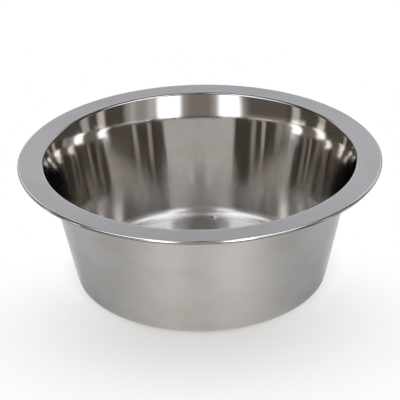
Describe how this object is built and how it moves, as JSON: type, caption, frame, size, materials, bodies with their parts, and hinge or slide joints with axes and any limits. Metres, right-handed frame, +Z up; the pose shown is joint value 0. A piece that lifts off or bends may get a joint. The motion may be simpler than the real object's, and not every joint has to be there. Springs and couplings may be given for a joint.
{
  "type": "feeding bowl",
  "caption": "Round steel feeding bowl pressed from one sheet, with a flat base, a leaning wall that opens out at the throat, and a wide flat rim with a rolled edge.",
  "frame": {"origin": "centre of the flat face that the bowl stands on", "axes": "+Z up along the bowl's axis; X and Y are alike, because the bowl is round"},
  "size_m": [0.24, 0.24, 0.087],
  "materials": {
    "turned_steel": "brushed in circles",
    "wall_steel": "satin outside, polished inside",
    "rim_steel": "fine satin"
  },
  "bodies": {
    "root": {"base_disc": "turned_steel", "foot_curve": "wall_steel", "side_wall": "wall_steel", "throat_curve": "wall_steel", "rim_flange": "rim_steel", "rolled_edge": "rim_steel"}
  },
  "joints": []
}
